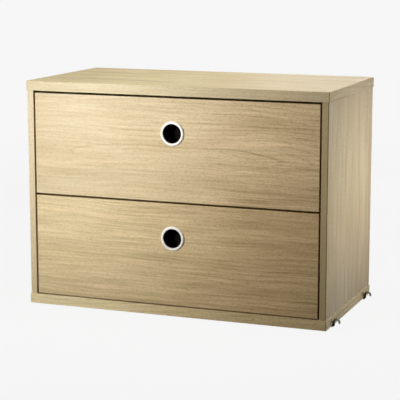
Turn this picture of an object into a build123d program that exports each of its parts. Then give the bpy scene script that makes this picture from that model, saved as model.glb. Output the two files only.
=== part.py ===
from build123d import *
import os

# Two-drawer cabinet in oak-veneered board. X runs from left to right, -Y is the front and +Z is up.
# The origin is in the middle of the space that the closed cabinet fills, at the underside of its
# four wire hooks, which is what it stands on. All sizes are millimetres.

# Cabinet
width = 580.0  # over the ends of the top and bottom panels
depth = 300.0  # of the top and bottom panels, front edge to back edge
height = 420.0  # from the underside of the bottom panel to the top
panel_thick = 18.0  # top and bottom panels
side_thick = 12.0
back_thick = 5.0
overhang = 1.5  # the top and bottom panels stand this far past the sides and the drawer fronts
back_inset = 12.0  # from the back edges of the boards to the back panel's outer face
groove_depth = 5.0  # of the grooves that hold the thin boards
groove_fit = 0.15  # play on each face of a board in its groove
groove_end_gap = 0.3  # from a board's edge to the bottom of its groove
edge_round = 0.5  # the broken edges of the boards that show

# Glued dowels
dowel_radius = 3.0
dowel_length = 26.0
dowel_fit = 0.05
dowel_end_gap = 0.3
dowel_edge = 32.0  # from a board's end to its first dowel
carcass_dowel_sunk = 10.0  # of a dowel's length, in the top or bottom panel
carcass_dowel_count = 4  # along each end of a side
drawer_dowel_sunk = 9.0  # of a dowel's length, in the drawer front or the drawer side

# Drawer fronts
front_thick = 16.0
gap_top = 3.5
gap_middle = 3.5
gap_bottom = 2.5
gap_side = 3.0

# Finger pulls
ring_drop = 63.5  # from the top of a front to the middle of its pull
ring_proud = 3.0
ring_radius = 22.4
ring_bore = 17.6
ring_wall = 2.0  # of the sleeve that passes through the front
ring_round = 1.0
pull_fit = 0.1  # between the cup and the ring, and between the ring and its hole
cup_wall = 1.4
cup_recess = 1.2  # the cup's lip lies this far behind the ring's face
cup_reach = 22.0  # from the ring's face to the cup's floor
cup_round = 4.0

# Drawer boxes
box_board = 12.0
box_height = 150.0
box_back_gap = 10.5  # from the box of a closed drawer to the back panel
box_rise = 12.0  # from the lower edge of the front to the lower edge of the box
bottom_board = 5.0
bottom_rise = 8.0  # from the lower edge of the box to its bottom board

# Ball runners
runner_thick = 12.7  # from the cabinet side to the drawer side
runner_setback = 3.0  # from the back of the drawer front to the runner's front end
runner_back_gap = 12.5  # from the runner's back end to the back panel
runner_rise = 50.0  # from the lower edge of the box to the middle of the runner
runner_height = 35.0
runner_sheet = 1.2
runner_bend = 1.0
runner_flange = 8.5  # how far the cabinet member's flanges reach from the cabinet side
member_gap = 4.2  # from the cabinet side to the edges of the drawer member's flanges
race_play = 0.1  # between a ball and each race
ball_radius = 1.8
ball_count = 5  # in each of a runner's two races
stop_sheet = 1.5  # bent tab that the closed drawer comes to rest against
stop_reach = 11.0
stop_height = 18.0
stop_gap = 0.5
cage_length = 60.0
cage_sheet = 0.6
cage_offset = 3.0  # from the cabinet side to the cage
cage_margin = 4.0  # of runner left beyond each end of the cage when the drawer is fully open
cage_end = 8.0  # from a cage's end to its first ball
cage_lap = 0.9  # of sheet left beside a ball's hole

# Pan-head screws
screw_radius = 1.75
screw_length = 9.0
screw_fit = 0.05
screw_tip_gap = 0.3
head_radius = 3.5
head_height = 1.4
head_round = 0.6
recess_length = 3.8
recess_width = 0.8
recess_depth = 0.8
screw_end = 35.0  # from a member's end to its outer screws
screw_count = 3

# Wire hooks
wire_radius = 2.0
wire_sunk = 1.5  # of the wire's diameter, in the groove under the bottom panel
wire_fit = 0.1
wire_end = 0.5  # chamfer
wire_bend = 4.0
hook_inset = 41.5  # from the front and back edges to the hooks
hook_run = 30.0  # along the underside, from the upturned end to the panel's end
hook_pin = 9.0  # how far the upturned end reaches into the panel
hook_standoff = 0.5  # from the panel's end to the wire
hook_height = 14.0  # from the panel's underside to the top of the arch
arch_radius = 5.0
arch_turn = 205.0  # degrees

# Planes and lines that the boards share
underside_z = 2 * wire_radius - wire_sunk
top_z = underside_z + height
floor_z = underside_z + panel_thick
ceiling_z = top_z - panel_thick
front_y = (ring_proud - overhang - depth) / 2
back_y = front_y + depth
face_y = front_y + overhang
front_back_y = face_y + front_thick
end_x = width / 2
side_outer = end_x - overhang
side_inner = side_outer - side_thick
back_face_y = back_y - back_inset - back_thick  # the face of the back panel that the drawers close towards
back_groove_y = (back_face_y - groove_fit, back_face_y + back_thick + groove_fit)
tongue = groove_depth - groove_end_gap  # how far a thin board reaches into its groove

front_height = (ceiling_z - floor_z - gap_top - gap_middle - gap_bottom) / 2
front_x = side_inner - gap_side
lower_z = floor_z + gap_bottom
upper_z = lower_z + front_height + gap_middle
levels = {"upper": upper_z, "lower": lower_z}
sides = {"left": -1, "right": 1}

box_outer = side_inner - runner_thick
box_inner = box_outer - box_board
box_end_y = back_face_y - box_back_gap
box_back_y = box_end_y - box_board
sleeve_radius = ring_bore + ring_wall

runner_y = front_back_y + runner_setback
runner_length = back_face_y - runner_back_gap - runner_y
member_length = runner_length - stop_sheet - stop_gap
race_width = 2 * (ball_radius + race_play)  # between the flanges of the two members
member_half = runner_height / 2 - runner_sheet - race_width
ball_height = member_half + race_width / 2
ball_offset = (runner_flange + member_gap) / 2
drawer_travel = member_length - cage_length - 2 * cage_margin
cage_y = runner_y + (member_length - cage_length) / 2
cage_reach = ball_offset + ball_radius + race_play + cage_lap


def block(x, y, z, mode=Mode.ADD):
    """Add or cut a block between three pairs of limits."""
    with Locations((sum(x) / 2, sum(y) / 2, sum(z) / 2)):
        Box(x[1] - x[0], y[1] - y[0], z[1] - z[0], mode=mode)


def rod(start, direction, radius, length, mode=Mode.ADD):
    """Add or cut a cylinder that runs from a point along a direction."""
    with Locations(Plane(origin=start, z_dir=direction)):
        Cylinder(radius, length, align=(Align.CENTER, Align.CENTER, Align.MIN), mode=mode)


def keep(piece, name):
    """Name a finished piece and write it."""
    piece.part.label = name
    export_step(piece.part, f"parts/{name}.step")


def inward(side, near, far):
    """X limits of what lies between two distances inside the inner face of a cabinet side."""
    return sorted((side * (side_inner - near), side * (side_inner - far)))


def around(middle, half):
    """Limits that lie evenly about a middle."""
    return (middle - half, middle + half)


def spread(low, high, count):
    """Evenly spaced places from low to high."""
    return [low + (high - low) * i / (count - 1) for i in range(count)]


def dowels(joints, growth=0.0, end_gap=0.0, mode=Mode.ADD):
    """Dowels, or with growth their holes, for joints given as (points, direction, depth sunk)."""
    for points, direction, sunk in joints:
        for point in points:
            start = Vector(*point) - Vector(*direction) * (sunk + end_gap)
            rod(start, direction, dowel_radius + growth, dowel_length + 2 * end_gap, mode)


def dowel_holes(joints):
    """Cut the holes of the dowels that cross a board."""
    dowels(joints, dowel_fit, dowel_end_gap, Mode.SUBTRACT)


def screw_places(side, offset, z, length):
    """Points under the screw heads of one runner member."""
    x = side * (side_inner - offset)
    return [(x, y, z) for y in spread(runner_y + screw_end, runner_y + length - screw_end, screw_count)]


def screws(places, side, turn):
    """Pan-head screws with a cross recess, driven outward (turn 1) or inward (turn -1)."""
    for x, y, z in places:
        toward = side * turn
        head_x = x - toward * head_height
        rod((x, y, z), (-toward, 0, 0), head_radius, head_height)
        rod((x, y, z), (toward, 0, 0), screw_radius, screw_length)
        recess_x = sorted((head_x, head_x + toward * recess_depth))
        block(recess_x, around(y, recess_length / 2), around(z, recess_width / 2), Mode.SUBTRACT)
        block(recess_x, around(y, recess_width / 2), around(z, recess_length / 2), Mode.SUBTRACT)


def screw_holes(places, side, turn):
    """Cut the holes that the screws pass through."""
    for place in places:
        rod(place, (side * turn, 0, 0), screw_radius + screw_fit, screw_length + screw_tip_gap, Mode.SUBTRACT)


def hook_wire(side, y, radius, mode=Mode.ADD):
    """Sweep a hook's wire: pin, run under the panel, leg up the panel's end, and arch out and down."""
    arch_z = underside_z + hook_height - wire_radius - arch_radius
    leg_x = end_x + hook_standoff + wire_radius
    plane = Plane(origin=(0, y, 0), x_dir=(side, 0, 0), z_dir=(0, -side, 0))
    with BuildLine(plane, mode=Mode.PRIVATE) as spine:
        FilletPolyline(
            (end_x - hook_run, underside_z + hook_pin),
            (end_x - hook_run, wire_radius),
            (leg_x, wire_radius),
            (leg_x, arch_z),
            radius=wire_bend,
        )
        CenterArc((leg_x + arch_radius, arch_z), arch_radius, start_angle=180, arc_size=-arch_turn)
    path = spine.wire()
    with BuildSketch(Plane(origin=path @ 0, z_dir=path % 0), mode=Mode.PRIVATE) as section:
        Circle(radius)
    sweep(sections=section.sketch, path=path, mode=mode)


hook_places = [
    (f"{row}_{hand}_hook", side, y)
    for row, y in (("front", front_y + hook_inset), ("back", back_y - hook_inset))
    for hand, side in sides.items()
]

# Joints of the carcass: the sides stand between the two panels
carcass_dowel_y = spread(face_y + dowel_edge, back_groove_y[0] - dowel_edge, carcass_dowel_count)
side_middle = side_outer - side_thick / 2
bottom_joints = {
    side: ([(side * side_middle, y, floor_z) for y in carcass_dowel_y], (0, 0, 1), carcass_dowel_sunk)
    for side in sides.values()
}
top_joints = {
    side: ([(side * side_middle, y, ceiling_z) for y in carcass_dowel_y], (0, 0, -1), carcass_dowel_sunk)
    for side in sides.values()
}
back_groove_x = (-side_inner - groove_depth, side_inner + groove_depth)

os.makedirs("parts", exist_ok=True)
print(f"runner length {runner_length:.1f} mm, drawer travel {drawer_travel:.1f} mm")

# Carcass
with BuildPart() as top_panel:
    block((-end_x, end_x), (front_y, back_y), (ceiling_z, top_z))
    fillet(top_panel.edges(), edge_round)
    block(back_groove_x, back_groove_y, (ceiling_z, ceiling_z + groove_depth), Mode.SUBTRACT)
    dowel_holes(top_joints.values())
keep(top_panel, "top_panel")

with BuildPart() as bottom_panel:
    block((-end_x, end_x), (front_y, back_y), (underside_z, floor_z))
    fillet(bottom_panel.edges(), edge_round)
    block(back_groove_x, back_groove_y, (floor_z - groove_depth, floor_z), Mode.SUBTRACT)
    dowel_holes(bottom_joints.values())
    for _, hook_side, hook_y in hook_places:
        hook_wire(hook_side, hook_y, wire_radius + wire_fit, Mode.SUBTRACT)
keep(bottom_panel, "bottom_panel")

for hand, side in sides.items():
    with BuildPart() as side_panel:
        block(inward(side, -side_thick, 0), (face_y, back_y), (floor_z, ceiling_z))
        fillet(side_panel.edges().filter_by(Axis.Z), edge_round)
        block(inward(side, -groove_depth, 0), back_groove_y, (floor_z, ceiling_z), Mode.SUBTRACT)
        dowel_holes([bottom_joints[side], top_joints[side]])
        for level_z in levels.values():
            runner_z = level_z + box_rise + runner_rise
            screw_holes(screw_places(side, runner_sheet, runner_z, runner_length), side, 1)
    keep(side_panel, f"{hand}_side_panel")

with BuildPart() as back_panel:
    block(
        (-side_inner - tongue, side_inner + tongue),
        (back_face_y, back_face_y + back_thick),
        (floor_z - tongue, ceiling_z + tongue),
    )
keep(back_panel, "back_panel")

with BuildPart() as carcass_dowels:
    dowels([*bottom_joints.values(), *top_joints.values()])
keep(carcass_dowels, "carcass_dowels")

for hook_name, hook_side, hook_y in hook_places:
    with BuildPart() as hook:
        hook_wire(hook_side, hook_y, wire_radius)
        chamfer(hook.faces().filter_by(GeomType.PLANE).edges(), wire_end)
    keep(hook, hook_name)

with BuildPart() as cabinet_runner_screws:
    for level_z in levels.values():
        runner_z = level_z + box_rise + runner_rise
        for side in sides.values():
            screws(screw_places(side, runner_sheet, runner_z, runner_length), side, 1)
keep(cabinet_runner_screws, "cabinet_runner_screws")

# Drawers, with their runners
for level, level_z in levels.items():
    box_z = (level_z + box_rise, level_z + box_rise + box_height)
    bottom_z = box_z[0] + bottom_rise
    groove_z = (bottom_z, bottom_z + bottom_board + 2 * groove_fit)
    runner_z = box_z[0] + runner_rise
    pull_z = level_z + front_height - ring_drop
    pull_axis = Axis((0, face_y, pull_z), (0, 1, 0))
    pull_plane = Plane(origin=(0, face_y, pull_z), x_dir=(1, 0, 0), z_dir=(0, 0, 1))
    dowel_z = (box_z[0] + dowel_edge, box_z[1] - dowel_edge)
    front_joints = {
        side: (
            [(side * (box_outer - box_board / 2), front_back_y, z) for z in dowel_z],
            (0, 1, 0),
            drawer_dowel_sunk,
        )
        for side in sides.values()
    }
    back_joints = {
        side: (
            [(side * box_inner, box_end_y - box_board / 2, z) for z in dowel_z],
            (-side, 0, 0),
            drawer_dowel_sunk,
        )
        for side in sides.values()
    }

    with BuildPart() as drawer_front:
        block((-front_x, front_x), (face_y, front_back_y), (level_z, level_z + front_height))
        fillet(drawer_front.edges(), edge_round)
        rod((0, face_y, pull_z), (0, 1, 0), sleeve_radius + pull_fit, front_thick, Mode.SUBTRACT)
        block(
            (-box_inner - groove_depth, box_inner + groove_depth),
            (front_back_y - groove_depth, front_back_y),
            groove_z,
            Mode.SUBTRACT,
        )
        dowel_holes(front_joints.values())
    keep(drawer_front, f"{level}_drawer_front")

    for hand, side in sides.items():
        with BuildPart() as drawer_side:
            block(sorted((side * box_inner, side * box_outer)), (front_back_y, box_end_y), box_z)
            block(
                sorted((side * box_inner, side * (box_inner + groove_depth))),
                (front_back_y, box_back_y + groove_depth),
                groove_z,
                Mode.SUBTRACT,
            )
            dowel_holes([front_joints[side], back_joints[side]])
            drawer_screws = screw_places(side, runner_thick - runner_sheet, runner_z, member_length)
            screw_holes(drawer_screws, side, -1)
        keep(drawer_side, f"{level}_drawer_{hand}_side")

    with BuildPart() as drawer_back:
        block((-box_inner, box_inner), (box_back_y, box_end_y), box_z)
        block((-box_inner, box_inner), (box_back_y, box_back_y + groove_depth), groove_z, Mode.SUBTRACT)
        dowel_holes(back_joints.values())
    keep(drawer_back, f"{level}_drawer_back")

    with BuildPart() as drawer_bottom:
        block(
            (-box_inner - tongue, box_inner + tongue),
            (front_back_y - tongue, box_back_y + tongue),
            (groove_z[0] + groove_fit, groove_z[1] - groove_fit),
        )
    keep(drawer_bottom, f"{level}_drawer_bottom")

    with BuildPart() as drawer_dowels:
        dowels([*front_joints.values(), *back_joints.values()])
    keep(drawer_dowels, f"{level}_drawer_dowels")

    with BuildPart() as finger_ring:
        with BuildSketch(pull_plane):
            with BuildLine():
                Polyline(
                    (ring_bore, -ring_proud),
                    (ring_radius, -ring_proud),
                    (ring_radius, 0),
                    (sleeve_radius, 0),
                    (sleeve_radius, front_thick),
                    (ring_bore, front_thick),
                    close=True,
                )
            ring_profile = make_face()
            fillet(ring_profile.vertices().group_by(Axis.Y)[0], ring_round)
        revolve(axis=pull_axis)
    keep(finger_ring, f"{level}_finger_ring")

    cup_radius = ring_bore - pull_fit
    cup_floor = cup_reach - ring_proud
    with BuildPart() as finger_cup:
        with BuildSketch(pull_plane):
            with BuildLine():
                Polyline(
                    (0, cup_floor + cup_wall),
                    (cup_radius, cup_floor + cup_wall),
                    (cup_radius, cup_recess - ring_proud),
                    (cup_radius - cup_wall, cup_recess - ring_proud),
                    (cup_radius - cup_wall, cup_floor),
                    (0, cup_floor),
                    close=True,
                )
            cup_profile = make_face()
            cup_corners = cup_profile.vertices().group_by(Axis.Y)
            fillet([cup_corners[-1].sort_by(Axis.X)[-1], cup_corners[-2].sort_by(Axis.X)[-1]], cup_round)
        revolve(axis=pull_axis)
    keep(finger_cup, f"{level}_finger_cup")

    with BuildPart() as drawer_runner_screws:
        for side in sides.values():
            screws(screw_places(side, runner_thick - runner_sheet, runner_z, member_length), side, -1)
    keep(drawer_runner_screws, f"{level}_drawer_runner_screws")

    for hand, side in sides.items():
        with BuildPart() as cabinet_runner:
            runner_y_limits = (runner_y, runner_y + runner_length)
            block(inward(side, 0, runner_sheet), runner_y_limits, around(runner_z, runner_height / 2))
            for up in (-1, 1):
                flange_z = sorted((up * runner_height / 2, up * (runner_height / 2 - runner_sheet)))
                block(inward(side, 0, runner_flange), runner_y_limits, [runner_z + z for z in flange_z])
            outer_edges = cabinet_runner.edges().filter_by(Axis.Y).sort_by(Axis.X)
            fillet(outer_edges[-2:] if side > 0 else outer_edges[:2], runner_bend)
            block(
                inward(side, 0, stop_reach),
                (runner_y + runner_length - stop_sheet, runner_y + runner_length),
                around(runner_z, stop_height / 2),
            )
            screw_holes(screw_places(side, runner_sheet, runner_z, runner_length), side, 1)
        keep(cabinet_runner, f"{level}_{hand}_cabinet_runner")

        with BuildPart() as drawer_runner:
            member_y = (runner_y, runner_y + member_length)
            web_x = inward(side, runner_thick - runner_sheet, runner_thick)
            block(web_x, member_y, around(runner_z, member_half))
            for up in (-1, 1):
                flange_z = sorted((up * member_half, up * (member_half - runner_sheet)))
                block(inward(side, member_gap, runner_thick), member_y, [runner_z + z for z in flange_z])
            outer_edges = drawer_runner.edges().filter_by(Axis.Y).sort_by(Axis.X)
            fillet(outer_edges[:2] if side > 0 else outer_edges[-2:], runner_bend)
            screw_holes(screw_places(side, runner_thick - runner_sheet, runner_z, member_length), side, -1)
        keep(drawer_runner, f"{level}_{hand}_drawer_runner")

        ball_x = side * (side_inner - ball_offset)
        ball_y = spread(cage_y + cage_end, cage_y + cage_length - cage_end, ball_count)
        with BuildPart() as ball_cage:
            cage_y_limits = (cage_y, cage_y + cage_length)
            tab_half = ball_height + cage_sheet / 2
            strip_x = inward(side, cage_offset, cage_offset + cage_sheet)
            block(strip_x, cage_y_limits, around(runner_z, tab_half))
            for up in (-1, 1):
                tab_z = around(runner_z + up * ball_height, cage_sheet / 2)
                block(inward(side, cage_offset, cage_reach), cage_y_limits, tab_z)
            for y in ball_y:
                start = (ball_x, y, runner_z - tab_half)
                rod(start, (0, 0, 1), ball_radius + race_play, 2 * tab_half, Mode.SUBTRACT)
        keep(ball_cage, f"{level}_{hand}_ball_cage")

        with BuildPart() as runner_balls:
            with Locations([(ball_x, y, runner_z + up * ball_height) for y in ball_y for up in (-1, 1)]):
                Sphere(ball_radius)
        keep(runner_balls, f"{level}_{hand}_runner_balls")
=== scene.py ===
import math

import bpy
import numpy as np
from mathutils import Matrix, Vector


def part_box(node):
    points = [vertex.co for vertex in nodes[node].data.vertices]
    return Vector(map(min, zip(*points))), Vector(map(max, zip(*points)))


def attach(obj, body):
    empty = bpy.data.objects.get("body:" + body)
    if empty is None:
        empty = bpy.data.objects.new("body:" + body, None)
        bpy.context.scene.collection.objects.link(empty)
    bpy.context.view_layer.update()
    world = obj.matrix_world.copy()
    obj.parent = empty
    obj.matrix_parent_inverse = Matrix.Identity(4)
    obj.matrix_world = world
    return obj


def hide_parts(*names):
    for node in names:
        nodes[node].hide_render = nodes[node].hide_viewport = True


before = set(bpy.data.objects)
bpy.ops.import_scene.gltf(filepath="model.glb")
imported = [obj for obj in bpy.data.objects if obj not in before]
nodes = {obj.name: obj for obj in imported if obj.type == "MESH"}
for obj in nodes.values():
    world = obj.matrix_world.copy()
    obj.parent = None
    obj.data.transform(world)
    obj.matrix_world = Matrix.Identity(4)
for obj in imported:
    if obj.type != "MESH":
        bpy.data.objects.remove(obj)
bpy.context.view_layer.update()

# Finishes for a two-drawer cabinet in oak-veneered board. Metres, in the cabinet's own frame:
# X runs from left to right, -Y is the front, +Z is up and the cabinet stands at z = 0.

LEVELS = ("upper", "lower")
HANDS = {"left": -1, "right": 1}
ROWS = ("front", "back")
MM = 0.001

# Camera, from the perspective fitted to the photograph
IMAGE_SIDE = 400
FOCAL_PIXELS = 1446.67
CAMERA_PLACE = (0.96755, -2.51739, 0.67491)
CAMERA_YAW = 0.3684
CAMERA_PITCH = 0.1769
SENSOR_WIDTH = 36.0
FARTHEST_SEEN = 100.0

# Studio
BACKGROUND_LEVEL = 0.922
REFLECTED_LEVEL = 0.70
AMBIENT_LEVEL = 0.10
WHITE = (1.0, 1.0, 1.0, 1.0)
FLOOR_REACH = 30.0
FLOOR_PAINT = 0.045
FLOOR_ROUGHNESS = 0.9
FLOOR_GLOW = 0.895
FLOOR_REFLECTED_LEVEL = 0.60
GLOW_NEAR = 0.5
GLOW_FAR = 3.0

# Hooks: bent wire. Its tips round off over a length, down to a radius, that are shares of the
# wire's own radius
WIRE_RADIUS = 2.0 * MM
BEND_RADIUS = 4.0 * MM
ARCH_RADIUS = 5.0 * MM
ARCH_TURN = 205.0
PIN_RISE = 9.5 * MM
TIP_LENGTH = 0.6
TIP_RADIUS = 0.55
WIRE_SIDES = 24
BEND_STEPS = 12
ARCH_STEPS = 32
TIP_ROWS = 6
RUN_ROWS = 60
STATION_DIGITS = 6
# Painted shade on each hook's leg, as if in the shadow between the wire and the panel: its colour,
# and how far past the leg it starts to fade
LEG_SHADE = (44, 35, 33)
LEG_SHADE_EDGE = 0.5 * MM

# Finger pulls
RING_BORE = 17.6 * MM
RING_LIP = 0.8 * MM
RING_LIP_STEPS = 9
RING_FALL = 2.0 * MM
RING_FALL_END = 6.0
RING_FALL_STEPS = 13
RIM_CHAMFER = 0.2 * MM
RIM_LIFT = 0.05 * MM
SLEEVE_RADIUS = 19.6 * MM
SLEEVE_CHAMFER = 0.3 * MM
BORE_CHAMFER = 0.2 * MM
CUP_WALL = 1.4 * MM
CUP_BEND = 4.0 * MM
CUP_BEND_STEPS = 10
CUP_LIP = 0.3 * MM
CUP_LIP_STEPS = 5
CUP_CENTRE = 0.5 * MM
RING_SIDES = 128
CUP_SIDES = 96

# Two faces look smooth together where they meet at less than this, in degrees
SMOOTH_BELOW = 35.0

# Oak veneer: its colours, 0 to 255 as they look, and how far they cover its pale tints. The glue
# colour also paints shade along the drawers' gaps, the palest colour is a painted highlight on
# upward edges beyond the sides, and the brown is painted shade in gaps and corners.
CLOUDY = (226, 194, 148)
SHADED = (166, 137, 91)
OPEN_PORE = (122, 94, 58)
# Glue lines; round the drawers' faces they also paint shade along the gaps
GLUE_LINE_AND_SHADE = (72, 50, 20)
# A painted highlight: the pale, lit look of the upward edge that stands out beyond the sides
LEDGE_HIGHLIGHT = (252, 244, 214)
# Painted shade: the brown a board is painted where it faces a gap or stands in a corner
GAP_SHADE = (136, 90, 3)
CLOUD_COVER = 0.35
PORE_COVER = 0.55
CORNER_GLUE_COVER = 0.62
FRONT_GLUE_AND_SHADE_COVER = 0.85

# Oak veneer: its growth rings, its marks, the glue lines at its corners, how far from the middle
# its looks go on changing, and its surface
GROWTH_LENGTH = 0.40
GROWTH_WIDTH = 0.064
GROWTH_STRAIGHT = 0.09
GROWTH_PITCH = 0.135
GROWTH_POINT = 1.45
MARK_DRIFT = 0.4
FADE_OUTSIDE = 20.0 * MM
FADE_INSIDE = 60.0 * MM
LEFT_GLUE_LINE = 0.3 * MM
RIGHT_GLUE_LINE = 1.4 * MM
FRONT_GLUE_LINE = 1.0 * MM
BOARD_REACH = 0.25
LIPPING_START = -0.20
LIPPING_END = 0.29
MEAN_SHADE = 0.30
PALEST_SHADE = -0.3
DARKEST_SHADE = 1.3
EDGE_BAND_QUIET = 0.6
OAK_ROUGHNESS = 0.42
SHADE_ROUGHNESS = 0.12
OAK_GLOSS = 0.28
FIBRE_DEPTH = 0.2 * MM

# A face looks along an axis where that part of its normal is beyond this
FACE_ON = 0.7

# A board's colour takes on painted shade where the next surface is nearer than this
GAP_REACH = 12.0 * MM
GAP_SAMPLES = 8

# Places of the two inputs and of the result on a Mix node, for numbers and for colours
MIX_NUMBERS = (2, 3, 0)
MIX_COLOURS = (6, 7, 2)

# Drawn steel: how fine its pattern is along and across the lines
DRAWN_ALONG = 40.0
DRAWN_ACROSS = 2500.0

# What each drawer front looks like, in the words of oak_veneer. Glue is how wide the dark line is
# at its left, right, bottom and top edge, in mm: a glue line that is also painted shade along the
# gaps round the drawer, widest where the gap lies deepest in shade. Each mark is a streak: its
# height, its half width, its start and its end, in mm, and its darkness.
FRONTS = {
    "upper": {
        "seed": 5.0,
        "heart": (0.0, 0.1482),
        "lively": (0.58, 1.10),
        "texture": (0.74, 1.20, 0.25),
        "tints": ((222, 206, 164), (230, 203, 156)),
        "glue": (0.6, 0.2, 0.2, 0.6),
        "marks": (
            (353, 13, 110, 310, 0.20),
            (286, 5, 215, 320, 0.26),
            (251, 7, 150, 320, 0.26),
            (254, 9, -260, 140, 0.12),
            (324, 11, 80, 260, -0.16),
            (276, 6, -320, -180, -0.12),
            (226, 24, 80, 320, 0.34),
        ),
    },
    "lower": {
        "seed": 6.0,
        "heart": (-0.34, 0.085),
        "lively": (0.85, 1.70),
        "texture": (0.62, 1.34, 0.14),
        "tints": ((233, 214, 166), (204, 174, 127)),
        "glue": (0.6, 0.2, 0.0, 0.2),
        "marks": (
            (148, 8, 80, 320, 0.38),
            (182, 5, 95, 215, 0.24),
            (105, 7, 60, 320, 0.24),
            (150, 4, -320, -40, -0.10),
            (161, 4, -320, -50, 0.14),
            (127, 6, -320, -150, 0.18),
            (109, 7, -320, 60, 0.16),
            (31, 8, -320, 320, 0.14),
            (128, 4, 30, 320, -0.18),
        ),
    },
}


# Meshes

def shell(rows, ring_of_rows=False):
    """Points and faces of a closed skin over rows of points. Each row closes on itself, and each
    point is joined to the next in its row and to the same one in the next row. The rows close on
    each other where ring_of_rows is true, and otherwise the first and the last row are capped by a
    fan to their mean. The faces look outwards where the volume is positive: the sum, over
    triangles, of the first corner cross the second, dot the third."""
    count, across = rows.shape[:2]
    points = rows.reshape(-1, 3)
    place = np.arange(count * across).reshape(count, across)
    nearer, further = (place, np.roll(place, -1, 0)) if ring_of_rows else (place[:-1], place[1:])
    quads = np.stack([nearer, np.roll(nearer, -1, 1), np.roll(further, -1, 1), further], -1)
    quads = quads.reshape(-1, 4)
    caps = np.zeros((0, 3), int)
    if not ring_of_rows:
        first, last = place[0], place[-1]
        start, end = len(points), len(points) + 1
        points = np.vstack([points, rows[0].mean(0), rows[-1].mean(0)])
        caps = np.vstack([np.stack([np.roll(first, -1), first, np.full(across, start)], -1),
                          np.stack([last, np.roll(last, -1), np.full(across, end)], -1)])
    a, b, c, d = (points[quads[:, k]] for k in range(4))
    volume = (np.cross(a, b) * c).sum() + (np.cross(a, c) * d).sum()
    if len(caps):
        e, f, g = (points[caps[:, k]] for k in range(3))
        volume += (np.cross(e, f) * g).sum()
    if volume < 0:
        quads, caps = quads[:, ::-1], caps[:, ::-1]
    return points, quads, caps


def make_piece(name, skin, material, body, replaced):
    """One mesh object from a closed skin, which stands in for CAD nodes and rides on their body."""
    points, quads, caps = skin
    mesh = bpy.data.meshes.new(name)
    mesh.from_pydata(points.tolist(), [], quads.tolist() + caps.tolist())
    mesh.polygons.foreach_set("use_smooth", np.ones(len(mesh.polygons), bool))
    mesh.set_sharp_from_angle(angle=math.radians(SMOOTH_BELOW))
    mesh.materials.append(material)
    piece = bpy.data.objects.new(name, mesh)
    bpy.context.scene.collection.objects.link(piece)
    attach(piece, body)
    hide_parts(*replaced)


def turned(profile, middle, steps):
    """Rows of a shape turned about an axis that runs to the front, -Y. Each profile point (radius,
    distance) gives the circle of that radius square to the axis, at that distance in front of
    the middle."""
    out = np.array((0.0, -1.0, 0.0))
    side = np.array((0.0, 0.0, 1.0))
    other = np.cross(out, side)
    angle = np.arange(steps) * 2 * math.pi / steps
    around = np.cos(angle)[:, None] * side + np.sin(angle)[:, None] * other
    return np.array(middle) + profile[:, None, :1] * around + profile[:, None, 1:] * out


def arc(middle, radius, start, end, steps):
    """Points on a circle, evenly spaced from one angle to another, in degrees: the middle plus the
    radius times the angle's cosine and sine."""
    angle = np.radians(np.linspace(start, end, steps))
    return np.stack([middle[0] + radius * np.cos(angle), middle[1] + radius * np.sin(angle)], -1)


# Finishes

def colour(red, green, blue):
    """A colour written as it looks, 0 to 255, as the shader wants it."""
    def linear(level):
        share = level / 255
        return share / 12.92 if share <= 0.04045 else ((share + 0.055) / 1.055) ** 2.4
    return (linear(red), linear(green), linear(blue), 1.0)


def material_nodes(name):
    """An empty material with a Principled shader joined to its output."""
    material = bpy.data.materials.new(name)
    material.use_nodes = True
    tree = material.node_tree
    tree.nodes.clear()
    output = tree.nodes.new("ShaderNodeOutputMaterial")
    shader = tree.nodes.new("ShaderNodeBsdfPrincipled")
    tree.links.new(shader.outputs["BSDF"], output.inputs["Surface"])
    return material, tree, shader


def grain_axes(along, x, y, z):
    """Three places put in the order along the grain, across it and through the board."""
    return {"X": (x, z, y), "Y": (y, z, x), "Z": (z, y, x)}[along]


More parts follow.
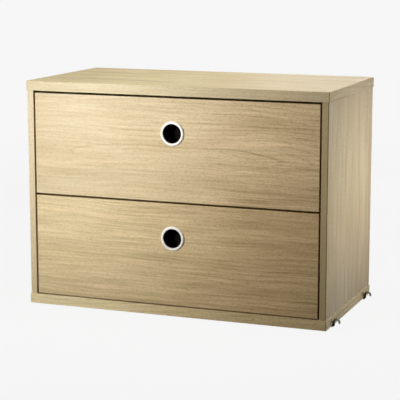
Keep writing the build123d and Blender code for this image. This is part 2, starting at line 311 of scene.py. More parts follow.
class Pattern:
    """Adds pattern nodes to one node tree; each call returns the socket that carries its result."""

    def __init__(self, tree):
        self.tree = tree

    def join(self, source, socket):
        """Set a socket from another socket or from a value."""
        if isinstance(source, bpy.types.NodeSocket):
            self.tree.links.new(source, socket)
        elif source is not None:
            socket.default_value = source

    def coordinate(self, kind):
        """A vector at the surface: "Object" for its place and "Normal" for where it looks."""
        return self.tree.nodes.new("ShaderNodeTexCoord").outputs[kind]

    def split(self, vector):
        """The x, y and z of a vector."""
        node = self.tree.nodes.new("ShaderNodeSeparateXYZ")
        self.join(vector, node.inputs[0])
        return node.outputs[0], node.outputs[1], node.outputs[2]

    def vector(self, x, y, z):
        """A vector from three numbers."""
        node = self.tree.nodes.new("ShaderNodeCombineXYZ")
        for socket, value in zip(node.inputs, (x, y, z)):
            self.join(value, socket)
        return node.outputs[0]

    def work_out(self, operation, a, b=None):
        """One arithmetic step."""
        node = self.tree.nodes.new("ShaderNodeMath")
        node.operation = operation
        self.join(a, node.inputs[0])
        self.join(b, node.inputs[1])
        return node.outputs[0]

    def add(self, *terms):
        """The sum of terms."""
        total = terms[0]
        for term in terms[1:]:
            total = self.work_out("ADD", total, term)
        return total

    def minus(self, a, b):
        """The first number less the second."""
        return self.work_out("SUBTRACT", a, b)

    def times(self, a, b):
        """The product of two numbers."""
        return self.work_out("MULTIPLY", a, b)

    def divide(self, a, b):
        """The first number divided by the second."""
        return self.work_out("DIVIDE", a, b)

    def power(self, a, b):
        """The first number to the power of the second."""
        return self.work_out("POWER", a, b)

    def unsigned(self, value):
        """A number without its sign."""
        return self.work_out("ABSOLUTE", value)

    def larger(self, a, b):
        """The larger of two numbers, which is 1 where either of two conditions holds."""
        return self.work_out("MAXIMUM", a, b)

    def above(self, value, limit):
        """1 where a number is above a limit and 0 elsewhere."""
        return self.work_out("GREATER_THAN", value, limit)

    def below(self, value, limit):
        """1 where a number is below a limit and 0 elsewhere."""
        return self.work_out("LESS_THAN", value, limit)

    def ramp(self, value, low, high, start=0.0, end=1.0):
        """Run a value smoothly from start to end as it goes from low to high."""
        node = self.tree.nodes.new("ShaderNodeMapRange")
        node.interpolation_type = "SMOOTHSTEP"
        self.join(value, node.inputs["Value"])
        node.inputs["From Min"].default_value = low
        node.inputs["From Max"].default_value = high
        node.inputs["To Min"].default_value = start
        node.inputs["To Max"].default_value = end
        return node.outputs[0]

    def noise(self, vector, fineness, shift=(0, 0, 0), detail=2.0, roughness=0.5):
        """Smooth noise from 0 to 1, with its own fineness along each axis and its own place."""
        node = self.tree.nodes.new("ShaderNodeMapping")
        self.join(vector, node.inputs["Vector"])
        node.inputs["Scale"].default_value = fineness
        node.inputs["Location"].default_value = shift
        texture = self.tree.nodes.new("ShaderNodeTexNoise")
        self.join(node.outputs[0], texture.inputs["Vector"])
        texture.inputs["Scale"].default_value = 1.0
        texture.inputs["Detail"].default_value = detail
        texture.inputs["Roughness"].default_value = roughness
        return texture.outputs[0]

    def grain(self, vector, along, across, shift, detail=2.0, roughness=0.5):
        """Noise on a board, with one fineness along the grain and another across and through it."""
        return self.noise(vector, (along, across, across), shift, detail, roughness)

    def even_noise(self, vector, fineness, detail):
        """Noise that is as fine along every axis."""
        return self.noise(vector, (fineness, fineness, fineness), detail=detail)

    def swing(self, noise, amount):
        """A noise moved to swing about zero, by half the amount to either side."""
        return self.times(self.minus(noise, 0.5), amount)

    def mix(self, amount, a, b, beyond=False):
        """Mix two colours. Beyond lets the amount go on below 0 and above 1."""
        first, second, result = MIX_COLOURS
        node = self.tree.nodes.new("ShaderNodeMix")
        node.data_type = "RGBA"
        node.clamp_factor = not beyond
        self.join(amount, node.inputs[0])
        self.join(a, node.inputs[first])
        self.join(b, node.inputs[second])
        return node.outputs[result]

    def seen(self, by_camera, in_reflection, by_other_light):
        """A level that differs for what the camera, a reflection and all other light see."""
        first, second, result = MIX_NUMBERS
        path = self.tree.nodes.new("ShaderNodeLightPath")
        level = by_other_light
        for ray, own_level in (("Is Glossy Ray", in_reflection), ("Is Camera Ray", by_camera)):
            node = self.tree.nodes.new("ShaderNodeMix")
            node.data_type = "FLOAT"
            self.join(path.outputs[ray], node.inputs[0])
            self.join(level, node.inputs[first])
            self.join(own_level, node.inputs[second])
            level = node.outputs[result]
        return level

    def painted_gap_shade(self, reach):
        """How much painted shade a spot gets, from ambient occlusion: from 0 in the open to 1 deep
        in a gap narrower than the reach, with a steep rise in the gap itself and a faint one on the
        way to it, a soft painted contact shadow."""
        node = self.tree.nodes.new("ShaderNodeAmbientOcclusion")
        node.samples = GAP_SAMPLES
        node.inputs["Distance"].default_value = reach
        openness = node.outputs["AO"]
        deep = self.ramp(openness, 0.14, 0.48, 1.0, 0.0)
        faint = self.ramp(openness, 0.40, 0.90, 0.30, 0.0)
        return self.larger(deep, faint)

    def bump(self, height, strength, distance):
        """A normal bent by a height."""
        node = self.tree.nodes.new("ShaderNodeBump")
        node.inputs["Strength"].default_value = strength
        node.inputs["Distance"].default_value = distance
        self.join(height, node.inputs["Height"])
        return node.outputs[0]


class OakPattern(Pattern):
    """The pattern of oak veneer on one board."""

    def __init__(self, tree, along, seed):
        """Place each spot lengthwise along the grain, crosswise over it and depthwise through the
        board. The depth is added to the crosswise place, so that the long edges show grain too.
        The end of a board has its own strip of veneer, laid along that end, so that there the
        board's length counts as crosswise. The fibres drift slowly off their straight line."""
        super().__init__(tree)
        self.seed = seed
        self.x, self.y, self.z = self.split(self.coordinate("Object"))
        self.facing = self.split(self.coordinate("Normal"))
        length, across, through = grain_axes(along, self.x, self.y, self.z)
        self.end_on = self.looks_along("XYZ".index(along))
        side_on = self.minus(1.0, self.end_on)
        depthwise = self.times(through, side_on)
        self.lengthwise = self.add(self.times(length, side_on), self.times(through, self.end_on))
        self.crosswise = self.add(across, depthwise, self.times(length, self.end_on))
        self.board = self.vector(self.lengthwise, self.crosswise, depthwise)
        wander = self.grain(self.board, 2.6, 7.0, (seed, seed * 1.7, 3.1), detail=1.0)
        ripple = self.grain(self.board, 9.0, 22.0, (seed * 2.3, 5.2, seed))
        self.drift = self.add(self.swing(wander, 0.026), self.swing(ripple, 0.008))
        self.flow = self.vector(self.lengthwise, self.add(self.crosswise, self.drift), depthwise)

    def looks_along(self, axis):
        """1 on faces that look along an axis, either way, and 0 elsewhere."""
        return self.above(self.unsigned(self.facing[axis]), FACE_ON)

    def growth_rings(self, heart):
        """Growth rings: long pointed loops of uneven width, each with a porous dark start that
        fades. A loop's size is (tip^n + line^n)^(1/n), with n the point, tip the distance from the
        heart along the grain, less the straight part, over the ring's length, and line the
        distance across it over the ring's width. The rings repeat once each pitch."""
        seed = self.seed
        beside_heart = self.unsigned(self.minus(self.lengthwise, heart[0]))
        past_straight = self.larger(self.minus(beside_heart, GROWTH_STRAIGHT), 0.0)
        from_tip = self.divide(past_straight, GROWTH_LENGTH)
        from_line = self.divide(self.add(self.crosswise, self.drift, -heart[1]), GROWTH_WIDTH)
        loop = self.add(self.power(self.unsigned(from_tip), GROWTH_POINT),
                        self.power(self.unsigned(from_line), GROWTH_POINT))
        loop = self.power(loop, 1 / GROWTH_POINT)
        spacing = self.swing(self.grain(self.flow, 1.6, 14.0, (seed, 1.3, 8.0)), 1.6)
        frayed = self.swing(self.grain(self.flow, 12.0, 90.0, (seed, 6.3, 1.0), detail=3.0), 0.6)
        disturbed = self.times(self.add(spacing, frayed), self.ramp(loop, 0.1, 0.8, 0.35, 1.0))
        turn = self.work_out("FRACT", self.add(self.divide(loop, GROWTH_PITCH), disturbed))
        porous = self.times(self.ramp(turn, 0.0, 0.10), self.ramp(turn, 0.12, 0.45, 1.0, 0.0))
        patches = self.grain(self.flow, 3.5, 20.0, (seed * 3.1, 2.0, 6.0), detail=3.0)
        main_loop = self.times(self.ramp(loop, 0.17, 0.25, 0.25, 0.9),
                               self.ramp(loop, 0.34, 0.44, 1.0, 0.0))
        shown = self.larger(self.ramp(patches, 0.40, 0.62, 0.06, 0.50), main_loop)
        worn_away = self.times(self.ramp(self.lengthwise, -0.20, 0.12, 0.65, 1.0),
                               self.ramp(from_line, -0.05, 0.10, 0.25, 1.0))
        return self.times(porous, self.times(shown, worn_away))

    def mark(self, place, half_width, start, end):
        """A single streak: across the grain it falls off as e to the minus square of the distance
        over the half width, and along the grain it fades in at its start and out at its end."""
        drift = self.times(self.drift, MARK_DRIFT)
        off = self.divide(self.add(self.crosswise, drift, -place), half_width)
        across_it = self.work_out("EXPONENT", self.times(self.times(off, off), -1.0))
        fade_in = self.ramp(self.lengthwise, start - FADE_OUTSIDE, start + FADE_INSIDE)
        fade_out = self.ramp(self.lengthwise, end - FADE_INSIDE, end + FADE_OUTSIDE, 1.0, 0.0)
        return self.times(across_it, self.times(fade_in, fade_out))

    def corner_glue(self, corner):
        """1 in the glue line where two edge bands meet, along the upright edge at (x, y) and along
        the one opposite it at the left."""
        at_side = self.larger(self.above(self.x, corner[0] - RIGHT_GLUE_LINE),
                              self.below(self.x, LEFT_GLUE_LINE - corner[0]))
        at_front = self.below(self.y, corner[1] + FRONT_GLUE_LINE)
        return self.times(at_side, at_front)

    def front_glue_and_shade(self, left, right, bottom, top):
        """1 in the glue lines of a drawer's face, which lie beyond these four places and also paint
        shade along the gaps.
        """
        beside = self.larger(self.below(self.x, left), self.above(self.x, right))
        past_end = self.larger(self.below(self.z, bottom), self.above(self.z, top))
        return self.times(self.larger(beside, past_end), self.below(self.facing[1], -FACE_ON))

    def lit_ledge(self, beyond):
        """1 on upward faces further from the cabinet's middle than this, where a pale highlight is
        painted as if they caught the light.
        """
        outside = self.above(self.unsigned(self.x), beyond)
        return self.times(outside, self.above(self.facing[2], FACE_ON))


def oak_veneer(name, along, heart, seed, tints, lively, fine=1.0, texture=(0.76, 1.20, 0.26),
               marks=(), corner=None, lipping=None, ends=None, front=None, lit_ledge=None,
               gap_shade=1.0):
    """Pale oak veneer.

    along: the axis of its grain.
    heart: where its growth rings close, along the grain and across it.
    seed: which stretch of the noise it shows.
    tints: its pale colours at the board's start and end.
    lively: the strength of its grain at the board's start and end.
    fine: the strength of its narrow streaks.
    texture: how strong the streaks, the fibres and the broad bands are.
    marks: single streaks, each with its place across the grain, its half width, where it starts
        and ends along the grain, and how dark it is, below zero for a pale one.
    corner: x and y of the upright edge along which the edge bands meet in a glue line.
    lipping: the front edge band's colour, and how far it covers at the left and the right end.
    ends: the end strips' colour, and how far it covers.
    front: the left, right, bottom and top of a drawer's face inside its glue lines, which also
    paint shade along the gaps.
    lit_ledge: the distance from the middle beyond which a pale highlight is painted on upward
    faces, as if lit from above.
    gap_shade: how much painted shade the board gets where it faces a gap or a corner."""
    material, tree, shader = material_nodes(name)
    p = OakPattern(tree, along, seed)
    beyond = p.ramp(p.lengthwise, -BOARD_REACH, BOARD_REACH)
    porous = p.growth_rings(heart)

    # Streaks, fibres, cloudy bands and open pores, all drawn out along the grain
    streaks = p.grain(p.flow, 6.0, 130.0, (seed * 1.9, 4.0, 1.0), detail=3.0, roughness=0.65)
    fibres = p.grain(p.flow, 9.0, 340.0, (seed, 0.0, 2.0), detail=3.0, roughness=0.60)
    broad = p.grain(p.flow, 7.5, 55.0, (seed * 0.3, 9.0, 2.5))
    bands = p.grain(p.flow, 2.2, 24.0, (seed * 0.7, 7.0, 5.0))
    clouds = p.grain(p.board, 6.0, 26.0, (4.0, seed, 9.0))
    flecks = p.grain(p.flow, 230.0, 700.0, (2.0, seed, 1.0), detail=1.0)
    lines = p.grain(p.flow, 5.0, 240.0, (seed * 1.3, 2.0, 7.0))
    many_pores = p.add(0.32, p.times(beyond, 0.26), p.times(porous, 0.6))
    pores = p.times(p.ramp(flecks, 0.55, 0.72), many_pores)

    # How dark the grain makes each spot; the edge bands are quieter than the faces
    edge_band = p.looks_along(1) if corner else 0.0
    strength = p.add(lively[0], p.times(beyond, lively[1] - lively[0]))
    strength = p.times(strength, p.minus(1.0, p.times(edge_band, EDGE_BAND_QUIET)))
    narrow = p.add(p.swing(streaks, texture[0]), p.swing(fibres, texture[1]),
                   p.swing(flecks, 0.30), p.times(porous, 0.50), -0.03)
    wide = p.add(p.times(p.swing(broad, texture[2]), fine), p.swing(bands, 0.32))
    shade = p.add(MEAN_SHADE, p.times(p.add(p.times(narrow, fine), wide), strength))
    torn = p.ramp(lines, 0.36, 0.64, 0.30, 1.35)
    for place, half_width, start, end, darkness in marks:
        streak = p.times(p.mark(place, half_width, start, end), torn)
        shade = p.add(shade, p.times(streak, darkness))
    shade = p.larger(p.work_out("MINIMUM", shade, DARKEST_SHADE), PALEST_SHADE)

    # The colours, from the veneer itself to the brown painted shade of the gaps, with glue lines
    # and a painted highlight between
    base = p.mix(beyond, *tints)
    base = p.mix(p.ramp(clouds, 0.34, 0.66, 0.0, CLOUD_COVER), base, colour(*CLOUDY))
    if lipping:
        band_colour, at_left, at_right = lipping
        cover = p.ramp(p.x, LIPPING_START, LIPPING_END, at_left, at_right)
        base = p.mix(p.times(edge_band, cover), base, band_colour)
    if ends:
        strip_colour, cover = ends
        base = p.mix(p.times(p.end_on, cover), base, strip_colour)
    base = p.mix(shade, base, colour(*SHADED), beyond=True)
    base = p.mix(p.times(pores, PORE_COVER), base, colour(*OPEN_PORE))
    if corner:
        base = p.mix(p.times(p.corner_glue(corner), CORNER_GLUE_COVER), base, colour(*GLUE_LINE_AND_SHADE))
    # Glue lines round each drawer's face, which also paint shade along the gaps
    if front:
        base = p.mix(p.times(p.front_glue_and_shade(*front), FRONT_GLUE_AND_SHADE_COVER), base, colour(*GLUE_LINE_AND_SHADE))
    # Painted highlight: upward faces beyond the sides are painted pale as if they caught the light
    if lit_ledge:
        base = p.mix(p.lit_ledge(lit_ledge), base, colour(*LEDGE_HIGHLIGHT))
    # Painted shade: the board browns where ambient occlusion finds a gap or a corner close by
    base = p.mix(p.times(p.painted_gap_shade(GAP_REACH), gap_shade), base, colour(*GAP_SHADE))

    p.join(base, shader.inputs["Base Color"])
    p.join(p.add(OAK_ROUGHNESS, p.times(shade, SHADE_ROUGHNESS)), shader.inputs["Roughness"])
    shader.inputs["Specular IOR Level"].default_value = OAK_GLOSS
    relief = p.minus(p.times(fibres, 0.4), p.add(pores, p.times(porous, 0.3)))
    p.join(p.bump(relief, 0.3, FIBRE_DEPTH), shader.inputs["Normal"])
    return material


def plain_board(name, light, dark, along, seed):
    """Drawer boards and thin panels: quiet straight grain along one axis, from light to dark."""
    material, tree, shader = material_nodes(name)
    p = Pattern(tree)
    length, across, through = grain_axes(along, *p.split(p.coordinate("Object")))
    board = p.vector(length, across, through)
    drift = p.swing(p.grain(board, 3.0, 9.0, (seed, 1.0, 2.0)), 0.02)
    flow = p.vector(length, p.add(across, drift), through)
    fine = p.grain(flow, 16.0, 300.0, (seed, 1.0, 2.0), detail=3.0, roughness=0.6)
    slow = p.grain(flow, 2.0, 30.0, (3.0, seed, 1.0))
    share = p.add(p.times(fine, 0.6), p.times(slow, 0.5))
    base = p.mix(p.ramp(share, 0.35, 0.75), colour(*light), colour(*dark))
    p.join(base, shader.inputs["Base Color"])
    p.join(p.ramp(share, 0.3, 0.9, 0.48, 0.60), shader.inputs["Roughness"])
    p.join(p.bump(fine, 0.2, FIBRE_DEPTH), shader.inputs["Normal"])
    return material


def plastic(name, base, worn, roughness, fineness, gloss):
    """Moulded plastic with a very fine surface grain."""
    material, tree, shader = material_nodes(name)
    p = Pattern(tree)
    place = p.coordinate("Object")
    fine = p.even_noise(place, fineness, detail=3.0)
    slow = p.even_noise(place, 60.0, detail=2.0)
    shown = p.mix(p.ramp(slow, 0.35, 0.7), colour(*base), colour(*worn))
    p.join(shown, shader.inputs["Base Color"])
    p.join(p.ramp(fine, 0.3, 0.7, roughness - 0.05, roughness + 0.05), shader.inputs["Roughness"])
    p.join(p.bump(fine, 0.08, 0.1 * MM), shader.inputs["Normal"])
    shader.inputs["Specular IOR Level"].default_value = gloss
    return material


def steel(name, base, worn, roughness, along, shaded_leg=None):
    """Zinc-plated or bare steel, faintly drawn along one axis. An optional pair (start, end) gives
    the distances from the cabinet's middle between which painted shade fades out: a hook's leg
    darkened as if in the shadow between the wire and the panel."""
    material, tree, shader = material_nodes(name)
    p = Pattern(tree)
    place = p.coordinate("Object")
    fineness = [DRAWN_ALONG if axis == along else DRAWN_ACROSS for axis in "XYZ"]
    brushed = p.noise(place, fineness)
    cloudy = p.even_noise(place, 90.0, detail=3.0)
    shown = p.mix(p.ramp(cloudy, 0.35, 0.7), colour(*base), colour(*worn))
    # Painted shade: the leg darker, fading out with the distance from the middle
    if shaded_leg:
        from_middle = p.unsigned(p.split(place)[0])
        painted_shade = p.ramp(from_middle, shaded_leg[0], shaded_leg[1], 1.0, 0.0)
        shown = p.mix(painted_shade, shown, colour(*LEG_SHADE))
    p.join(shown, shader.inputs["Base Color"])
    p.join(p.ramp(brushed, 0.2, 0.8, roughness - 0.06, roughness + 0.08),
           shader.inputs["Roughness"])
    p.join(p.bump(brushed, 0.1, 0.05 * MM), shader.inputs["Normal"])
    shader.inputs["Metallic"].default_value = 1.0
    return material


def dress(node, material):
    """Give a CAD node one material."""
    nodes[node].data.materials.clear()
    nodes[node].data.materials.append(material)


# The carcass

def front_corner(node):
    """The x and y of a board's upright edge at the front right."""
    low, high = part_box(node)
    return high[0], low[1]


def dress_carcass():
    """Veneer on the boards that show."""
    panel_corner = front_corner("top_panel")
    side_corner = front_corner("right_side_panel")
    top = oak_veneer(
        "oak_top", "X", heart=(-0.35, 0.30), seed=1.0,
        tints=(colour(249, 233, 171), colour(212, 196, 153)), lively=(1.3, 1.1),
        marks=((0.44, 0.045, -0.35, -0.03, 0.16), (0.345, 0.02, -0.35, 0.0, 0.21)),
        corner=panel_corner, lipping=(colour(198, 187, 161), 0.55, 0.20),
        ends=(colour(169, 157, 146), 0.3))
    bottom = oak_veneer(
        "oak_bottom", "X", heart=(0.40, -0.30), seed=2.0,
        tints=(colour(255, 239, 188), colour(223, 201, 148)), lively=(2.2, 2.0),
        corner=panel_corner, lit_ledge=side_corner[0], gap_shade=0.0)
    left = oak_veneer(
        "oak_left_side", "Z", heart=(0.9, -0.55), seed=3.0,
        tints=(colour(224, 204, 148), colour(224, 204, 148)), lively=(2.2, 2.2), fine=0.5,
        corner=side_corner, lipping=(colour(226, 212, 180), 0.6, 0.6), gap_shade=0.52)
    right = oak_veneer(
        "oak_right_side", "Z", heart=(0.75, 0.62), seed=4.0,
        tints=(colour(215, 199, 163), colour(215, 199, 163)), lively=(2.2, 2.2), fine=0.5,
        corner=side_corner, lipping=(colour(188, 169, 125), 1.0, 1.0))
    dress("top_panel", top)
    dress("bottom_panel", bottom)
    dress("left_side_panel", left)
    dress("right_side_panel", right)
    dress("back_panel", plain_board("back_ply", (212, 190, 152), (188, 163, 122), "X", 1.0))
    dress("carcass_dowels", plain_board("beech", (214, 182, 140), (190, 156, 114), "Z", 2.0))


def hook_path(inner, outer, bottom, top):
    """The middle of a hook's wire, as distance from the cabinet's middle and height. It comes down
    the pin, turns through 90 degrees, runs out under the panel, turns up through 90 degrees into
    the leg and goes over in the open arch: arcs joined by straight lines."""
    pin = inner + WIRE_RADIUS
    run = bottom + WIRE_RADIUS
    leg = outer - WIRE_RADIUS - 2 * ARCH_RADIUS
    shoulder = top - WIRE_RADIUS - ARCH_RADIUS
    return np.vstack([
        [(pin, run + PIN_RISE)],
        arc((pin + BEND_RADIUS, run + BEND_RADIUS), BEND_RADIUS, 180, 270, BEND_STEPS),
        arc((leg - BEND_RADIUS, run + BEND_RADIUS), BEND_RADIUS, 270, 360, BEND_STEPS),
        arc((leg + ARCH_RADIUS, shoulder), ARCH_RADIUS, 180, 180 - ARCH_TURN, ARCH_STEPS),
    ])


def wire_rows(path, side, middle_y):
    """Circles along a hook's path, each square to it. Their radius is the wire's, and over the tips
    it follows a quarter of an ellipse, down to the tip's radius. Each point is the path's, plus the
    radius times the cosine along the path's normal and times the sine along Y. Side is -1 at the
    left hand and 1 at the right."""
    steps = np.linalg.norm(np.diff(path, axis=0), axis=1)
    travel = np.concatenate([[0], np.cumsum(steps)])
    length = travel[-1]
    tip = WIRE_RADIUS * TIP_LENGTH
    near_tip = tip * (1 - np.cos(np.linspace(0, math.pi / 2, TIP_ROWS)))[:-1]
    between = np.linspace(tip, length - tip, RUN_ROWS)
    stations = np.concatenate([near_tip, length - near_tip, travel[1:-1], between])
    stations = np.unique(np.round(stations, STATION_DIGITS))
    spine = np.stack([np.interp(stations, travel, path[:, k]) for k in (0, 1)], -1)
    tangent = np.gradient(spine, stations, axis=0)
    tangent /= np.linalg.norm(tangent, axis=1)[:, None]
    to_tip = np.minimum(stations, length - stations)
    rounding = np.sqrt(np.clip(1 - (1 - np.clip(to_tip / tip, 0, 1)) ** 2, 0, 1))
    radius = WIRE_RADIUS * (TIP_RADIUS + (1 - TIP_RADIUS) * rounding)
    angle = np.arange(WIRE_SIDES) * 2 * math.pi / WIRE_SIDES
    reach = radius[:, None] * np.cos(angle)
    return np.stack([
        side * (spine[:, :1] - tangent[:, 1:] * reach),
        middle_y + radius[:, None] * np.sin(angle),
        spine[:, 1:] + tangent[:, :1] * reach,
    ], -1)


def make_hooks():
    """Four bent-wire hooks, two under each end. Painted shade darkens the leg and fades out into
    the arch.
    """
    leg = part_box("front_right_hook")[1][0] - WIRE_RADIUS - 2 * ARCH_RADIUS
    metal = steel("hook_steel", (156, 152, 144), (100, 95, 90), roughness=0.30, along="X",
                  shaded_leg=(leg + LEG_SHADE_EDGE, leg + ARCH_RADIUS))
    for row in ROWS:
        for hand, side in HANDS.items():
            name = f"{row}_{hand}_hook"
            low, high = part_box(name)
            inner, outer = sorted((abs(low[0]), abs(high[0])))
            path = hook_path(inner, outer, low[2], high[2])
            rows = wire_rows(path, side, (low[1] + high[1]) / 2)
            make_piece(f"{name}_wire", shell(rows), metal, "carcass", [name])


# The drawers

def ring_profile(rim, proud, thick):
    """A finger ring's outline, as radius and distance in front of the drawer's face. The lip at
    the bore is a quarter circle, and the ring falls to its rim along a quarter of an ellipse. The
    sleeve goes back through the front, with chamfered edges."""
    quarter = arc((0.0, 0.0), 1.0, 90, RING_FALL_END, RING_FALL_STEPS)
    return np.vstack([
        arc((RING_BORE + RING_LIP, proud - RING_LIP), RING_LIP, 180, 90, RING_LIP_STEPS),
        (rim - RING_FALL, 0.0) + (RING_FALL, proud) * quarter,
        [
            (rim - RIM_CHAMFER, RIM_LIFT),
            (SLEEVE_RADIUS + SLEEVE_CHAMFER, RIM_LIFT),
            (SLEEVE_RADIUS, 0.0),
            (SLEEVE_RADIUS, -thick + SLEEVE_CHAMFER),
            (SLEEVE_RADIUS - SLEEVE_CHAMFER, -thick),
            (RING_BORE + BORE_CHAMFER, -thick),
            (RING_BORE, -thick + BORE_CHAMFER),
        ],
    ])


def cup_profile(outer, lip, back):
    """A finger cup's outline, as radius and distance in front of the drawer's face: a wall of even
    thickness with quarter circles at its lip and between its side and its floor."""
    inner = outer - CUP_WALL
    floor = back - CUP_WALL
    return np.vstack([
        [(CUP_CENTRE, -back)],
        arc((outer - CUP_BEND, -back + CUP_BEND), CUP_BEND, 270, 360, CUP_BEND_STEPS),
        arc((outer - CUP_LIP, lip - CUP_LIP), CUP_LIP, 0, 90, CUP_LIP_STEPS),
        arc((inner + CUP_LIP, lip - CUP_LIP), CUP_LIP, 90, 180, CUP_LIP_STEPS),
        arc((inner - CUP_BEND, -floor + CUP_BEND), CUP_BEND, 360, 270, CUP_BEND_STEPS),
        [(CUP_CENTRE, -floor)],
    ])


def make_pulls():
    """Finger pulls: a white ring with a sleeve, and a black cup inside it, both turned shapes."""
    white = plastic("ring_white", (255, 251, 242), (250, 246, 237), roughness=0.34,
                    fineness=900.0, gloss=0.5)
    black = plastic("cup_black", (21, 18, 16), (24, 21, 18), roughness=0.80,
                    fineness=1400.0, gloss=0.02)
    for level in LEVELS:
        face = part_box(f"{level}_drawer_front")[0][1]
        low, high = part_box(f"{level}_finger_ring")
        middle = (0.0, face, (low[2] + high[2]) / 2)
        rows = turned(ring_profile(high[0], face - low[1], high[1] - face), middle, RING_SIDES)
        make_piece(f"{level}_pull_ring", shell(rows, True), white, f"{level}_drawer",
                   [f"{level}_finger_ring"])
        low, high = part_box(f"{level}_finger_cup")
        rows = turned(cup_profile(high[0], face - low[1], high[1] - face), middle, CUP_SIDES)
        make_piece(f"{level}_pull_cup", shell(rows), black, f"{level}_drawer",
                   [f"{level}_finger_cup"])


def front_veneer(level):
    """The veneer of one drawer's front. A mark's place across the grain is its height plus the y
    of the drawer's face, as on every face that is not an end."""
    look = FRONTS[level]
    low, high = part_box(f"{level}_drawer_front")
    left, right, bottom, top = (width * MM for width in look["glue"])
    marks = [(z * MM + low[1], half * MM, start * MM, end * MM, darkness)
             for z, half, start, end, darkness in look["marks"]]
    return oak_veneer(
        f"oak_{level}_front", "X", heart=look["heart"], seed=look["seed"],
        tints=[colour(*tint) for tint in look["tints"]], lively=look["lively"],
        texture=look["texture"], marks=marks, gap_shade=0.8,
        front=(low[0] + left, high[0] - right, low[2] + bottom, high[2] - top))


def dress_drawers():
    """Fronts in veneer and boxes in birch."""
    birch = plain_board("birch_sides", (224, 205, 170), (206, 183, 144), "Y", 4.0)
    birch_back = plain_board("birch_back", (224, 205, 170), (206, 183, 144), "X", 5.0)
    ply = plain_board("drawer_ply", (216, 196, 160), (196, 172, 133), "X", 6.0)
    dowel = plain_board("drawer_beech", (214, 182, 140), (190, 156, 114), "Y", 7.0)
    for level in LEVELS:
        dress(f"{level}_drawer_front", front_veneer(level))
        for hand in HANDS:
            dress(f"{level}_drawer_{hand}_side", birch)
        dress(f"{level}_drawer_back", birch_back)
        dress(f"{level}_drawer_bottom", ply)
        dress(f"{level}_drawer_dowels", dowel)


def dress_runners():
    """Zinc-plated ball runners and their screws."""
    zinc = steel("runner_zinc", (184, 186, 188), (174, 176, 179), roughness=0.34, along="Y")
    screw_zinc = steel("screw_zinc", (196, 196, 192), (184, 184, 180), roughness=0.28, along="X")
    cage = steel("cage_zinc", (168, 170, 172), (156, 158, 161), roughness=0.36, along="Y")
    balls = steel("ball_steel", (205, 206, 208), (190, 191, 193), roughness=0.12, along="Y")
    dress("cabinet_runner_screws", screw_zinc)
    for level in LEVELS:
        dress(f"{level}_drawer_runner_screws", screw_zinc)
        for hand in HANDS:
            dress(f"{level}_{hand}_cabinet_runner", zinc)
            dress(f"{level}_{hand}_drawer_runner", zinc)
            dress(f"{level}_{hand}_ball_cage", cage)
            dress(f"{level}_{hand}_runner_balls", balls)


# The studio

def add_soft_light(name, place, target, side, radiance, spread=180.0, shine=True):
    """A square light aimed at a point, with a spread in degrees. Its power is pi times its radiance
    times its area. Without shine it lights surfaces but isn't mirrored in them."""
    light = bpy.data.lights.new(name, "AREA")
    light.shape = "SQUARE"
    light.size = side
    light.energy = radiance * math.pi * side * side
    light.spread = math.radians(spread)
    lamp = bpy.data.objects.new(name, light)
    bpy.context.scene.collection.objects.link(lamp)
    aim = np.array(target) - np.array(place)
    tilt = math.atan2(math.hypot(aim[0], aim[1]), -aim[2])
    lamp.location = place
    lamp.rotation_euler = (tilt, 0.0, math.atan2(-aim[0], aim[1]))
    lamp.visible_camera = False
    lamp.visible_glossy = shine


def add_surroundings():
    """A pale background, dimmer in reflections and dimmer still as a light."""
    world = bpy.data.worlds.new("studio")
    bpy.context.scene.world = world
    world.use_nodes = True
    background = world.node_tree.nodes["Background"]
    background.inputs["Color"].default_value = WHITE
    p = Pattern(world.node_tree)
    level = p.seen(BACKGROUND_LEVEL, REFLECTED_LEVEL, AMBIENT_LEVEL)
    p.join(level, background.inputs["Strength"])


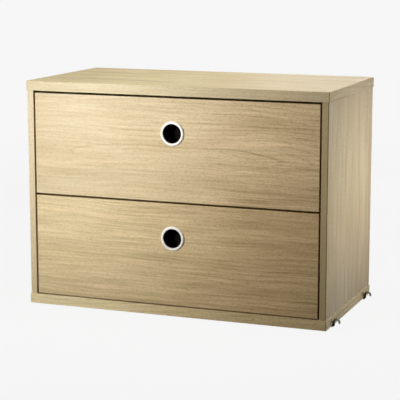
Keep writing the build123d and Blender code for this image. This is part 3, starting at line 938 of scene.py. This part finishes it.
def add_floor():
    """A wide pale floor at z = 0, a flat square. It glows so that it blends into the background
    with the distance from the cabinet."""
    mesh = bpy.data.meshes.new("floor")
    corners = np.array([(-1, -1, 0), (1, -1, 0), (1, 1, 0), (-1, 1, 0)]) * FLOOR_REACH
    mesh.from_pydata(corners.tolist(), [], [(0, 1, 2, 3)])
    floor = bpy.data.objects.new("floor", mesh)
    bpy.context.scene.collection.objects.link(floor)
    material, tree, shader = material_nodes("floor_paint")
    shader.inputs["Base Color"].default_value = (FLOOR_PAINT, FLOOR_PAINT, FLOOR_PAINT, 1.0)
    shader.inputs["Roughness"].default_value = FLOOR_ROUGHNESS
    shader.inputs["Specular IOR Level"].default_value = 0.0
    shader.inputs["Emission Color"].default_value = WHITE
    p = Pattern(tree)
    across, along, _ = p.split(p.coordinate("Object"))
    away = p.work_out("SQRT", p.add(p.times(across, across), p.times(along, along)))
    glow = p.ramp(away, GLOW_NEAR, GLOW_FAR, FLOOR_GLOW, BACKGROUND_LEVEL)
    p.join(p.seen(glow, FLOOR_REFLECTED_LEVEL, 0.0), shader.inputs["Emission Strength"])
    mesh.materials.append(material)


def add_lights():
    """A key light at the front left and soft lights round the rest."""
    add_soft_light("key", (-0.75, -1.28, 0.40), (-0.11, -0.15, 0.375),
                   side=0.26, radiance=7.9, spread=52.0)
    add_soft_light("low", (-0.90, -1.00, 0.10), (-0.27, -0.15, 0.01),
                   side=0.3, radiance=0.36, spread=28.0)
    add_soft_light("right", (1.0, 0.80, 0.232), (0.2885, 0.05, 0.254),
                   side=0.39, radiance=1.29, spread=28.0, shine=False)
    add_soft_light("above", (0.13, -0.05, 1.0), (0.06, 0.0, 0.42),
                   side=0.8, radiance=2.4)
    add_soft_light("left", (-1.4, 0.35, 0.30), (-0.28, 0.0, 0.2),
                   side=0.7, radiance=0.9, spread=100.0)
    add_soft_light("behind", (0.0, 1.5, 0.30), (0.0, 0.15, 0.2),
                   side=0.8, radiance=0.9, spread=100.0)


def place_camera():
    """The photograph's camera."""
    data = bpy.data.cameras.new("camera")
    data.sensor_width = SENSOR_WIDTH
    data.lens = FOCAL_PIXELS * SENSOR_WIDTH / IMAGE_SIDE
    data.clip_end = FARTHEST_SEEN
    camera = bpy.data.objects.new("camera", data)
    camera.location = CAMERA_PLACE
    camera.rotation_euler = (math.pi / 2 - CAMERA_PITCH, 0.0, CAMERA_YAW)
    bpy.context.scene.collection.objects.link(camera)
    bpy.context.scene.camera = camera


dress_carcass()
make_hooks()
dress_drawers()
make_pulls()
dress_runners()
add_surroundings()
add_floor()
add_lights()
place_camera()
bpy.context.scene.view_settings.view_transform = "Standard"
